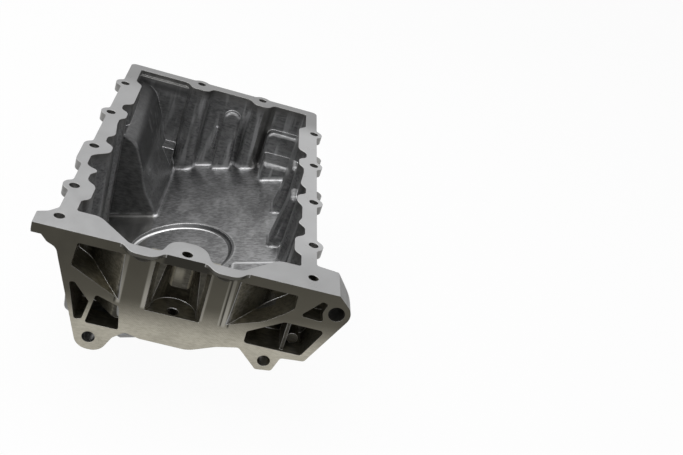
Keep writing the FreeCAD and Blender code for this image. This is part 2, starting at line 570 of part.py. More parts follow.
LEFT_BIG_POCKET = [(-85, -9, 2), (-41, -9, 2), (-41, -54.5, 2), (-87, -30.5, 3)]
RIGHT_BIG_POCKET = [(37, -9, 2), (95, -9, 2), (95.5, -22, 3), (89, -29, 6), (74, -41.5, 30), (37, -56, 2)]
LEFT_NARROW_POCKET = [(-86, -46, 2), (-81.5, -45.5, 2), (-67.5, -61, 2), (-70.5, -79.5, 2), (-76.5, -81, 2)]
LEFT_LOW_POCKET = [(-63, -53, 2), (-43, -59.5, 2), (-39.5, -82.5, 2), (-67.5, -82.5, 2)]
RIGHT_SMALL_POCKET = [(101, -27.5, 2), (116, -9, 2), (121, -10.5, 2), (118.5, -20, 6), (121.5, -28.5, 2)]
RIGHT_LOW_POCKET = [(63, -54.5, 2), (91, -37, 4), (126, -37, 3), (112.5, -66.5, 3), (63, -66.5, 3)]


def make_end():
    """The gearbox-end plate, its deep right block and left box, before the pockets are cut."""
    back = FACE_Y + BLOCK_DEPTH
    plate = face_prism(FACE_OUTLINE, FACE_Y, FACE_Y + PLATE_THICKNESS)
    deep = face_prism(FACE_OUTLINE, FACE_Y, back)
    right = deep.common(box(RIGHT_BLOCK_X[0], BIG, -BIG, BIG, RIGHT_BLOCK_LOW_Z, BIG))
    left = deep.common(box(LEFT_BOX_X[0], LEFT_BOX_X[1], -BIG, BIG, LEFT_BOX_LOW_Z, BIG))
    ear = deep.common(box(RIGHT_BLOCK_X[0], RIGHT_BLOCK_X[1], -BIG, FACE_Y + RIGHT_EAR_DEPTH, -BIG, 0))
    end = plate.fuse([right, left, ear])
    # Behind the lug the right side curves in to the rail's corner.
    side = [(LUG_X + x, FACE_Y + y, radius) for x, y, radius in LUG_TAPER]
    side += [(RIGHT_WING_BACK_X, back, 8.0), (RIGHT_WING_BACK_X, BIG, 0), (BIG, BIG, 0)]
    taper = prism([(BIG, side[0][1], 0)] + side, -BIG, OVERCUT)
    return end.cut(taper)


def lip_flare(x):
    """The rail's front lip stands proud of the end face; below it the metal tapers back to the face."""
    radius = LIP_HALF_LENGTH + LIP_RUN
    cone = Part.makeCone(radius, radius - LIP_REACH, RAIL_THICKNESS,
                         Vector(x, FACE_Y - LIP_REACH + radius, -LIP_THICKNESS), DOWN)
    return cone.common(box(-BIG, BIG, -BIG, FACE_Y + WALL, -BIG, 0))


def pocket(points, shell, y_back):
    """A blind pocket from the end face, which stops at the sump's own wall or at y_back."""
    return face_prism(points, FACE_Y - OVERCUT, y_back).cut(shell)


def niche_cone(grow, z_top, z_bottom):
    """The niche's round back, which leans with the sump's front wall, or the wall round it."""
    lean = (NICHE_BOTTOM_RADIUS - NICHE_TOP_RADIUS) / (-RAIL_THICKNESS - NICHE_FLOOR_Z)
    radii = [NICHE_TOP_RADIUS + grow + (-RAIL_THICKNESS - z) * lean for z in (z_top, z_bottom)]
    return Part.makeCone(radii[0], radii[1], z_top - z_bottom, Vector(0, MIDDLE_BOLT_Y, z_top), DOWN)


def make_niche():
    """Half-round niche that gives a spanner room below the middle bolt; its back leans with the sump."""
    top, bottom = -RAIL_THICKNESS, NICHE_FLOOR_Z
    round_back = niche_cone(0.0, top, bottom)
    side = [(NICHE_HALF_WIDTH, FACE_Y - OVERCUT, 0), (NICHE_MOUTH_HALF_WIDTH, FACE_Y, 0),
            (NICHE_BOTTOM_RADIUS, MIDDLE_BOLT_Y, 2)]
    mouth = prism(side + [(-x, y, radius) for x, y, radius in reversed(side)], bottom, top)
    niche = round_back.fuse(mouth)
    boss = Part.makeCylinder(MIDDLE_BOSS_RADIUS, MIDDLE_BOSS_LENGTH, Vector(0, MIDDLE_BOLT_Y, 0),
                             DOWN)
    return niche.cut(boss)


def bolt_places():
    places = [(side * BOLT_HALF_SPACING, y) for y in BOLT_ROWS_Y for side in (-1, 1)]
    return places + [(x, REAR_BOLT_Y) for x in REAR_BOLTS_X] + [(0.0, MIDDLE_BOLT_Y)]


def make_casting():
    shell = make_shell()
    body = prism(rail_outline(), -RAIL_THICKNESS, 0.0).fuse(make_lobes())
    lips = box(-BIG, BIG, -BIG, FACE_Y, -BIG, -LIP_THICKNESS)
    body = body.cut(lips)
    flush = shell.common(box(-BIG, BIG, FACE_Y, BIG, -BIG, BIG))
    niche_wall = niche_cone(WALL, 0.0, NICHE_FLOOR_Z - WALL).common(box(-BIG, BIG, FACE_Y, BIG, -BIG, 0))
    body = body.fuse([flush, make_end(), niche_wall, lip_flare(-LIP_X), lip_flare(LIP_X)])
    for row in (2, 3):
        pad = Part.makeCylinder(RIGHT_LOBE_RADIUS, RAIL_THICKNESS,
                                Vector(BOLT_HALF_SPACING, BOLT_ROWS_Y[row] + LOW_PAD_OFFSET, -LOW_PAD_DROP),
                                DOWN)
        body = body.fuse(pad)
    drain_boss = Part.makeCylinder(DRAIN_BOSS_RADIUS, DRAIN_ROOT_X - DRAIN_FACE_X,
                                   Vector(DRAIN_FACE_X, DRAIN_Y, DRAIN_Z), Vector(1, 0, 0))
    body = body.fuse(drain_boss)

    pocket_back = FACE_Y + BLOCK_DEPTH - POCKET_WEB
    pockets = [pocket(points, flush, pocket_back) for points in (
        LEFT_BIG_POCKET, RIGHT_BIG_POCKET, LEFT_NARROW_POCKET, LEFT_LOW_POCKET)]
    pockets.append(pocket(RIGHT_SMALL_POCKET, flush, FACE_Y + SMALL_POCKET_DEPTH))
    rib = box(POCKET_RIB_X - POCKET_RIB_THICKNESS / 2, POCKET_RIB_X + POCKET_RIB_THICKNESS / 2,
              FACE_Y + POCKET_RIB_RECESS, BIG, -BIG, 0)
    boss_y = FACE_Y + POCKET_BOSS_RECESS
    boss = Part.makeCylinder(POCKET_BOSS_RADIUS, pocket_back - boss_y,
                             Vector(POCKET_BOSS_X, boss_y, POCKET_BOSS_Z), Vector(0, 1, 0))
    pockets.append(pocket(RIGHT_LOW_POCKET, flush.fuse([rib, boss]), pocket_back))
    pockets.append(make_niche())

    body = body.cut(pockets + [make_cavity()])
    holes = [Part.makeCylinder(RAIL_BOLT_RADIUS, MIDDLE_BOSS_LENGTH + 2 * OVERCUT, Vector(x, y, OVERCUT),
                               DOWN) for x, y in bolt_places()]
    holes.append(Part.makeCylinder(ACCESS_HOLE_RADIUS, BIG, Vector(0, MIDDLE_BOLT_Y, NICHE_FLOOR_Z + OVERCUT),
                                   DOWN))
    along = Vector(0, 1, 0)
    bores = [(LEFT_EAR_X, LEFT_EAR_Z, EAR_HOLE_RADIUS), (RIGHT_EAR_X, RIGHT_EAR_Z, EAR_HOLE_RADIUS),
             (LUG_X, LUG_Z, LUG_HOLE_RADIUS)]
    for x, z, radius in bores:
        start = Vector(x, FACE_Y - OVERCUT, z)
        holes.append(Part.makeCylinder(radius, BLOCK_DEPTH + 2 * OVERCUT, start, along))
    holes.append(Part.makeCylinder(DRAIN_HOLE_RADIUS, DRAIN_ROOT_X + 2 * OVERCUT - DRAIN_FACE_X,
                                   Vector(DRAIN_FACE_X - OVERCUT, DRAIN_Y, DRAIN_Z), Vector(1, 0, 0)))
    return body.cut(holes).removeSplitter()


def make_washer():
    at, out = Vector(DRAIN_FACE_X, DRAIN_Y, DRAIN_Z), Vector(-1, 0, 0)
    ring = Part.makeCylinder(WASHER_RADIUS, WASHER_THICKNESS, at, out)
    return ring.cut(Part.makeCylinder(DRAIN_HOLE_RADIUS + THREAD_CLEARANCE, WASHER_THICKNESS, at, out))


def make_plug():
    seat_x = DRAIN_FACE_X - WASHER_THICKNESS
    out = Vector(-1, 0, 0)
    seat = Vector(seat_x, DRAIN_Y, DRAIN_Z)
    collar = Part.makeCylinder(PLUG_COLLAR_RADIUS, PLUG_COLLAR_THICKNESS, seat, out)
    shank = Part.makeCylinder(DRAIN_HOLE_RADIUS - THREAD_CLEARANCE, PLUG_SHANK_LENGTH, seat, -out)
    head_x = seat_x - PLUG_COLLAR_THICKNESS
    corner = PLUG_ACROSS_FLATS / math.sqrt(3)
    corners = [Vector(head_x, DRAIN_Y + corner * math.cos(math.radians(60 * i)),
                      DRAIN_Z + corner * math.sin(math.radians(60 * i))) for i in range(7)]
    head = Part.Face(Part.makePolygon(corners)).extrude(out * PLUG_HEAD_HEIGHT)
    # The crown takes the corners off the head's outer end.
    crown_top = PLUG_ACROSS_FLATS / 2
    crown = Part.makeCone(crown_top + PLUG_HEAD_HEIGHT * PLUG_CROWN_SLOPE, crown_top, PLUG_HEAD_HEIGHT,
                          Vector(head_x, DRAIN_Y, DRAIN_Z), out)
    head = head.common(crown)
    return collar.fuse([shank, head]).removeSplitter()


def main():
    os.makedirs("parts", exist_ok=True)
    pieces = {"pan_casting": make_casting(), "drain_washer": make_washer(), "drain_plug": make_plug()}
    for name, shape in pieces.items():
        print(name, "valid", shape.isValid(), "solids", len(shape.Solids), "volume cm3",
              round(shape.Volume / 1000, 1), "faces", len(shape.Faces))
        shape.exportStep(f"parts/{name}.step")


main()
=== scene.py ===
import math

import bpy
import numpy as np
from mathutils import Matrix, Vector


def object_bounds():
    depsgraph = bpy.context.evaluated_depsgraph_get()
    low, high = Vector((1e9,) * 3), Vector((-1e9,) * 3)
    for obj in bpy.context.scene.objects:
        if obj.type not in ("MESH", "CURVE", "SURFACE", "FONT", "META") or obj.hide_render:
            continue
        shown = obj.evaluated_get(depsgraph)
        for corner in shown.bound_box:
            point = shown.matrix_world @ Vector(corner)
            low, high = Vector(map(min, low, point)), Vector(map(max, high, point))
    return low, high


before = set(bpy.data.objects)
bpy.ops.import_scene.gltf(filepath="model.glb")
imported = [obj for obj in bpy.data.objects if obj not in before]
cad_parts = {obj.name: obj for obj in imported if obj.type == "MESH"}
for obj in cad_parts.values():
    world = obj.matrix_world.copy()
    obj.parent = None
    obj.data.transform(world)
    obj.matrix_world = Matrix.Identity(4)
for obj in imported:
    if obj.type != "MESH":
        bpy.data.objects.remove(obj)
CAD_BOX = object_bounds()

MM = 0.001

# The photograph's width in pixels, and the lens worked out for it
PHOTO_WIDTH = 683
FOCAL_PIXELS = 952.5
SENSOR_WIDTH_MM = 36.0

# Where the camera stands and how it is turned, in the pan's own frame
CAMERA_AT = Vector((-10.13, -671.75, 402.33)) * MM
CAMERA_RIGHT = Vector((0.95623, -0.02371, 0.29166))
CAMERA_DOWN = Vector((0.24446, -0.48312, -0.84073))
CAMERA_FORWARD = Vector((0.16084, 0.87523, -0.45618))

# Places on the casting are in millimetres, as in the solid.
# Its milled faces: the rail's face is at z 0 and the gearbox-end face at this y. A point counts as milled
# within the band, where the normal's part along the axis is over FLAT. Off it by SKIN_GAP is cast skin.
END_FACE_Y = -18.5
FACE_BAND = 0.12
FLAT = 0.995
SKIN_GAP = 0.3

# How much of a normal has to point along an axis for a face to count as looking that way
LEANING = 0.3
LOOKING_BACK = 0.4
FLAT_TO_UPRIGHT = (0.20, 0.70)

# The cutters that milled them: the lines that their centres follow, their radius, and the feed from one arc
# to the next
RAIL_CENTRE_X = 104.0
CUTTER_RADIUS = 63.0
CUTTER_FEED = 1.9
END_CUTTER_FEED = 1.3
END_CUTTER_Z = -45.0

# Where the rail is darker or lighter: it lightens to the right and is darker along its rear, and how much
# the cutter's trail and the clouds in it count
RAIL_BRIGHTER_X = (20.0, 110.0)
RAIL_BRIGHTER_Y = (10.0, 60.0)
RAIL_REAR_Y = (285.0, 330.0)
TRAIL_SHARE = 0.45
CLOUD_SHARE = 0.55

# End face, painted dark near the rail as shade and bright towards its foot as a reflection: the depths over
# which it brightens, how much these fall to the right, and how it is blotched
END_SHADE_DEPTH = (0.0, 55.0)
END_SHADE_LEAN = 0.20
END_REFLECTION_DEPTH = (42.0, 80.0)
END_REFLECTION_LEAN = 0.12
END_TRAIL_SHARE = 0.10
BLOTCH_SHARE = 0.30
BLOTCH_CONTRAST = (0.30, 0.70)

# Pockets of the gearbox end, which get painted shade: what they lie between, and the leaning outsides of the
# casting beside them, each as x, z and lean. What looks back by more than NOT_BACK is no pocket, and a
# pocket's back, painted darkest, is what looks out of it by POCKET_OUTWARD.
POCKET_BACK_Y = 18.6
POCKET_TOP_Z = -0.6
POCKET_FOOT_Z = -84.2
POCKET_RIGHT_X = 126.0
NOT_BACK = 0.05
POCKET_OUTWARD = (0.60, 0.92)
LEFT_EDGE = (-94.5, -29.0, 0.334)
RIGHT_EDGE = (142.0, -15.0, 0.487)
LEFT_WALL_X = -88.0
LEFT_WALL_LOW_Z = -45.0

# Boss of the middle bolt in the niche, the zone round it, and its soft light
BOSS_HALF_WIDTH = 9.6
BOSS_LOW_Z = -28.2
BOSS_TOP_Z = -9.0
BOSS_ZONE_HALF_WIDTH = 11.0
BOSS_ZONE_LOW_Z = -31.0
BOSS_ZONE_BACK_Y = -10.0
BOSS_LIGHT_X = -2.5
BOSS_LIGHT_HALF_WIDTH = 5.5
BOSS_LIGHT_START = (7.0, 13.0)
BOSS_LIGHT_END = (15.0, 27.0)
BOSS_LIGHT_STRENGTH = 0.9
BOSS_ROUNDNESS = 0.30

# Lug: its bore, and the side of the block that carries it, which gets painted shade
LUG_X = 130.0
LUG_Z = -18.0
LUG_BORE_REACH = 7.4
LUG_SIDE_X = 118.0

# Painted highlights on the rims of the end face beside its pockets, and painted lines of shade beside them:
# x, half width and strength, the depths where they begin and end, and the depths over which the rims'
# highlights lighten
RIMS = ((-45.0, 2.2, 0.8), (-24.6, 2.6, 1.0), (42.6, 2.0, 1.3), (38.6, 1.0, 0.8), (23.8, 1.4, 0.7))
PAINTED_SHADE_LINES = ((-48.0, 0.9, 1.0), (40.4, 0.7, 1.0), (46.6, 1.1, 1.0))
SHADE_LINE_STRENGTH = 0.8
RIM_START = (7.0, 11.0)
RIM_END = (54.0, 57.0)
RIM_LIGHTENS = (10.0, 55.0)

# Dark strip of the end face over the niche: its middle and how it fades, to the sides and downwards, and
# the height up to which the strip's front side is dark
LIP_MIDDLE_X = 2.0
LIP_SIDE_FADE = (17.0, 21.0)
LIP_LOW_FADE = (9.5, 11.0)
LIP_TOP_Z = -0.2
LIP_SIDE_STRENGTH = 0.85

# Inside of the sump: what bounds it, the depths over which its skin begins, and how the outside is told
# from it. A side wall's outside has x times the normal's part along x over SIDE_LOOKING_OUT.
SUMP_HALF_WIDTH = 103.5
SUMP_FRONT_Y = -10.0
SUMP_SKIN_DEPTH = (0.5, 14.0)
REAR_WALL_Y = 300.0
SIDE_WALL_X = 40.0
SIDE_LOOKING_OUT = 4.0

# Upright sheen of the rear wall's pillars: where it begins, the part of the runs that shines, the depths
# where it ends, and its strength
PILLARS_Y = 285.0
SHEEN_RUNS = (0.52, 0.66)
SHEEN_END = (85.0, 100.0)
SHEEN_STRENGTH = 0.6

# The sump's floor: its height at the origin, its slopes, the shelf before it, and the round recess in it,
# whose wall slopes over RING_SLOPE
FLOOR_LEVEL = -107.5
FLOOR_FALL = 0.3038
FLOOR_RISE = 0.0410
SHELF_LEVEL = -66.0
SHELF_FRONT_Y = 2.0
SHELF_BAND = 6.0
RING_X = -5.9
RING_Y = 162.0
RING_RADIUS = 52.4
RING_SLOPE = 4.0
ON_FLOOR = (0.6, 1.2)

# Light on the recess: the half width and strength of its dark slope, how far the bright lines lie off the
# slope's foot and rim, with their half widths, and where they grow to the rear and weaken to the right
RING_SHADE_HALF_WIDTH = 2.4
RING_SHADE_STRENGTH = 0.8
RING_INNER_GAP = 0.4
RING_INNER_HALF_WIDTH = 1.1
RING_OUTER_GAP = 0.5
RING_OUTER_HALF_WIDTH = 0.9
RING_OUTER_STRENGTH = 0.5
RING_REAR = (-10.0, 34.0)
RING_RIGHT = (5.0, 42.0)
RING_RIGHT_LOSS = 0.8

# Edges of the raised step at the floor's front: where they run, their half widths, where the step ends, and
# the heights over the floor between which they lie
STEP_EDGE_X = 45.5
STEP_EDGE_X_HALF_WIDTH = 3.0
STEP_EDGE_X_STRENGTH = 0.5
STEP_SIDE_X = 43.0
STEP_EDGE_Y = 129.8
STEP_EDGE_Y_HALF_WIDTH = 6.0
STEP_REAR_Y = 131.0
STEP_FRONT_Y = 60.0
STEP_LOW = (2.0, 3.0)
STEP_HIGH = (8.0, 10.0)

# Fillets at the floor's edge: where they begin, the heights over the floor between which they lie, the part
# of the flow marks that shines in them, and how much weaker they are beside the haunch
FOOT_FRONT_Y = 90.0
FOOT_LOW = (0.3, 1.3)
FOOT_HIGH = (3.0, 6.5)
FOOT_FLOW = (0.30, 0.60)
HAUNCH_FOOT_LOSS = 0.55

# Haunch in the rear left corner, with painted shade on its top, the stretch of floor fillet beside it, and
# the ledge over it, in painted shade with a lighter painted line along it
HAUNCH_X = -36.0
HAUNCH_LOW_Z = -62.0
HAUNCH_FRONT_Y = 60.0
HAUNCH_FOOT_X = -30.0
HAUNCH_FOOT_Y = 235.0
HAUNCH_TOP = (0.15, 0.35)
HAUNCH_STRENGTH = 0.7
LEDGE_Z = -5.0
LEDGE_HALF_WIDTH = 1.0
LEDGE_FADE = (-26.0, -8.0)

# Contrasts of the mottled skins, the brighter flow marks, and how clouds and brushing share in the patches
CLOUD_CONTRAST = (0.35, 0.65)
PATCH_CLOUDS = 0.40
PATCH_BRUSHING = 0.60
PATCH_CONTRAST = (0.38, 0.62)
FLOW_CONTRAST = (0.56, 0.74)
FLOW_STRENGTH = 0.30

# Rounding of the edges as the eye sees it, in metres, the turn of the normal that counts as an edge, and
# how bright the edges' painted highlight is, which on the outside is partly also worn bright metal
EDGE_EASING = 0.9 * MM
MILLED_EASING = 0.6 * MM
EDGE_TURN = (0.012, 0.14)
EDGE_OUTSIDE = 0.75
EDGE_INSIDE = 0.95

# Roughness: its least and most, how it follows a pattern, and what grain, edges and the cutter's trail do
ROUGHNESS_CONTRAST = (0.3, 0.7)
SKIN_ROUGHNESS = (0.24, 0.36)
GRAIN_ROUGHNESS = 0.08
EDGE_SMOOTHNESS = 0.06
MILLED_ROUGHNESS = (0.27, 0.38)
TRAIL_ROUGHNESS = 0.05
DULL_ROUGHNESS = 0.85

# Relief: its depth in metres, and the shares of it that the patterns have
RELIEF_DEPTH = 0.12 * MM
GRAIN_HEIGHT = 0.16
PEEL_HEIGHT = 0.48
RUN_HEIGHT = 0.36
CUTTER_HEIGHT = 0.10


def grey(level, warmth=0.0):
    """A grey of that linear level, a little warmer or cooler."""
    return (level * (1.0 + 0.35 * warmth), level, level * (1.0 - warmth), 1.0)


# Greys of the casting: pairs are the dark and the light end of a mottled skin
OUTER_SKIN = (grey(0.17, 0.03), grey(0.25, 0.03))
# painted shade on the side of the lug's block
LUG_SIDE_SHADE = grey(0.11, 0.03)
FLOOR_SKIN = (grey(0.130, -0.01), grey(0.270, -0.01))
# the walls get a lighter copy of the floor's skin: painted light
WALL_SKIN_PAINTED_LIGHTER = (grey(0.185, -0.01), grey(0.350, -0.01))
HAUNCH_SHADE = grey(0.055, -0.02)
FOOT_SHINE = grey(0.80, -0.01)
RING_SHADE = grey(0.060, -0.02)
RING_SHINE = grey(0.85, 0.0)
STEP_SHINE = grey(0.62, -0.01)
PILLAR_SHEEN = grey(0.70, -0.01)
# painted shade on the ledge over the haunch, with a lighter painted line along it
LEDGE_SHADE = (grey(0.045), grey(0.12))
# painted shade in the pockets, darkest on the faces that look out of them
POCKET_SIDE = (grey(0.150, 0.22), grey(0.290, 0.20))
POCKET_BACK_SHADE = (grey(0.026, 0.22), grey(0.056, 0.20))
BOSS_SHINE = grey(0.15, 0.20)
BORE_SHADE = grey(0.030, 0.15)
LIP_SIDE_SHADE = grey(0.050, 0.20)
FLOW_MARK = grey(0.36, 0.0)
# edges: a painted highlight, on the outside partly also worn bright metal
EDGE_WEAR_AND_GLINT_OUTSIDE = grey(0.46, 0.03)
PAINTED_EDGE_GLINT_INSIDE = grey(0.82, -0.01)
# painted shade near the rail and painted reflection at the foot of the end face
END_SHADE = (grey(0.038, 0.22), grey(0.080, 0.22))
END_SHADE_CLOUD = grey(0.072, 0.22)
END_REFLECTION = (grey(0.29, 0.18), grey(0.47, 0.16))
# painted rim highlights and painted shade lines of the end face
RIM_LIGHT = (grey(0.13, 0.16), grey(0.30, 0.12))
LINE_SHADE = grey(0.020, 0.15)
LIP_SHADE = grey(0.024, 0.20)
RAIL_LEFT = (grey(0.30, 0.0), grey(0.36, -0.01))
RAIL_RIGHT = (grey(0.38, 0.0), grey(0.46, -0.01))
RAIL_REAR = (grey(0.19), grey(0.26))


class Reading:
    """A socket that can be used in sums: an expression on readings adds the Math nodes it needs."""

    def __init__(self, finish, socket):
        self.finish = finish
        self.socket = socket

    def math(self, operation, *others):
        """The Math node of that operation, with this reading first."""
        return self.finish.node("ShaderNodeMath", {"operation": operation}, [self, *others])

    def __add__(self, other):
        return self.math("ADD", other)

    def __radd__(self, other):
        return self.math("ADD", other)

    def __sub__(self, other):
        return self.math("SUBTRACT", other)

    def __rsub__(self, other):
        return self.finish.node("ShaderNodeMath", {"operation": "SUBTRACT"}, [other, self])

    def __mul__(self, other):
        return self.math("MULTIPLY", other)

    def __rmul__(self, other):
        return self.math("MULTIPLY", other)

    def __truediv__(self, other):
        return self.math("DIVIDE", other)

    def __rtruediv__(self, other):
        return self.finish.node("ShaderNodeMath", {"operation": "DIVIDE"}, [other, self])

    def __gt__(self, other):
        return self.math("GREATER_THAN", other)

    def __lt__(self, other):
        return self.math("LESS_THAN", other)

    def __abs__(self):
        return self.math("ABSOLUTE")

    def __neg__(self):
        return self * -1.0

    def ramp(self, low, high):
        """0 below low, 1 above high and a smooth rise between them."""
        settings = {"interpolation_type": "SMOOTHSTEP", "clamp": True}
        return self.finish.node("ShaderNodeMapRange", settings, [self, low, high])

    def fade(self, low, high):
        """1 below low, 0 above high and a smooth fall between them."""
        return 1.0 - self.ramp(low, high)

    def between(self, low, high):
        """1 between the two numbers and 0 elsewhere."""
        return (self > low) * (self < high)

    def either(self, other):
        """The larger of the two, which for two masks is where either holds."""
        return self.math("MAXIMUM", other)

    def split(self):
        """The three parts of a vector."""
        parts = self.finish.make("ShaderNodeSeparateXYZ", {}, [self])
        return [Reading(self.finish, out) for out in parts.outputs]


class Finish:
    """The nodes of one procedural material or world, and the one way in which they are made."""

    def __init__(self, owner):
        owner.use_nodes = True
        self.owner = owner
        self.tree = owner.node_tree
        self.tree.nodes.clear()

    def make(self, kind, settings, inputs=()):
        """A node of that type: its settings first, then the values or links of its sockets."""
        made = self.tree.nodes.new(kind)
        for key, value in settings.items():
            setattr(made, key, value)
        pairs = inputs.items() if isinstance(inputs, dict) else enumerate(inputs)
        for key, value in pairs:
            if isinstance(value, Reading):
                self.tree.links.new(value.socket, made.inputs[key])
            else:
                made.inputs[key].default_value = value
        return made

    def node(self, kind, settings, inputs=(), output=0):
        """The same, giving one of its outputs as a reading."""
        return Reading(self, self.make(kind, settings, inputs).outputs[output])

    def place(self):
        """The point on the piece, in its own coordinates."""
        return self.node("ShaderNodeTexCoord", {}, output="Object")

    def shown(self):
        """1 for a ray that shows the background: to the eye, in a reflection or through glass."""
        path = self.make("ShaderNodeLightPath", {})
        kinds = ("Is Camera Ray", "Is Glossy Ray", "Is Transmission Ray")
        seen, mirrored, through = [Reading(self, path.outputs[kind]) for kind in kinds]
        return seen.either(mirrored).either(through)

    def facing(self):
        """The flat normal of the surface."""
        return self.node("ShaderNodeNewGeometry", {}, output="True Normal")

    def noise(self, place, scale, detail=2.0, roughness=0.5, distortion=0.0):
        """Soft random pattern from 0 to 1, with scale in repeats per metre."""
        inputs = {"Vector": place, "Scale": scale, "Detail": detail,
                  "Roughness": roughness, "Distortion": distortion}
        return self.node("ShaderNodeTexNoise", {}, inputs)

    def stretched(self, place, scale):
        """The point with each axis multiplied by its own number."""
        return self.node("ShaderNodeVectorMath", {"operation": "MULTIPLY"}, [place, scale])

    def blend(self, factor, first, second):
        """A colour between first (factor 0) and second (factor 1)."""
        settings = {"data_type": "RGBA", "clamp_factor": True}
        inputs = {0: factor, 6: first, 7: second}
        return self.node("ShaderNodeMix", settings, inputs, output=2)

    def mixed(self, factor, first, second):
        """A number between first (factor 0) and second (factor 1)."""
        settings = {"data_type": "FLOAT", "clamp_factor": True}
        return self.node("ShaderNodeMix", settings, {0: factor, 2: first, 3: second})

    def rounded_normal(self, radius):
        """The normal of the surface with its edges eased by that radius."""
        return self.node("ShaderNodeBevel", {"samples": 8}, {"Radius": radius})

    def band(self, place, middle, half_width):
        """A soft stripe: 1 at its middle and 0 from half_width on."""
        return abs(place - middle).fade(0.35 * half_width, half_width)

    def stripes(self, place, table):
        """The sum of soft stripes, each given by its middle, half width and strength."""
        return sum(self.band(place, middle, half) * strength for middle, half, strength in table)

    def turned_away(self, normal):
        """How far that normal is turned from the surface's own: 0 where they agree."""
        return 1.0 - self.node("ShaderNodeVectorMath", {"operation": "DOT_PRODUCT"},
                               [normal, self.facing()], output=1)

    def blended_normal(self, factor, first, second):
        """A normal between first (factor 0) and second (factor 1)."""
        settings = {"data_type": "VECTOR", "clamp_factor": True}
        return self.node("ShaderNodeMix", settings, {0: factor, 4: first, 5: second}, output=1)

    def relief(self, height, depth, normal):
        """The normal with a relief of that height, 0 to 1, and depth in metres."""
        inputs = {"Strength": 1.0, "Distance": depth, "Height": height, "Normal": normal}
        return self.node("ShaderNodeBump", {}, inputs)

    def surface(self, constants, **varying):
        """The shader at the end: constants on its own sockets, what varies linked to them."""
        inputs = dict(constants)
        inputs.update({key.replace("_", " "): value for key, value in varying.items()})
        shader = self.node("ShaderNodeBsdfPrincipled", {}, inputs)
        self.make("ShaderNodeOutputMaterial", {}, {"Surface": shader})


def cutter_trail(across, along, feed):
    """Trail of a face mill, from 0 to 1. Each arc reaches along by the square root of radius squared less
    across squared, and a sine makes the next one follow at the feed."""
    reach = (CUTTER_RADIUS ** 2 - across * across).either(0.0).math("SQRT")
    return ((along - reach) / feed * math.tau).math("SINE") * 0.5 + 0.5


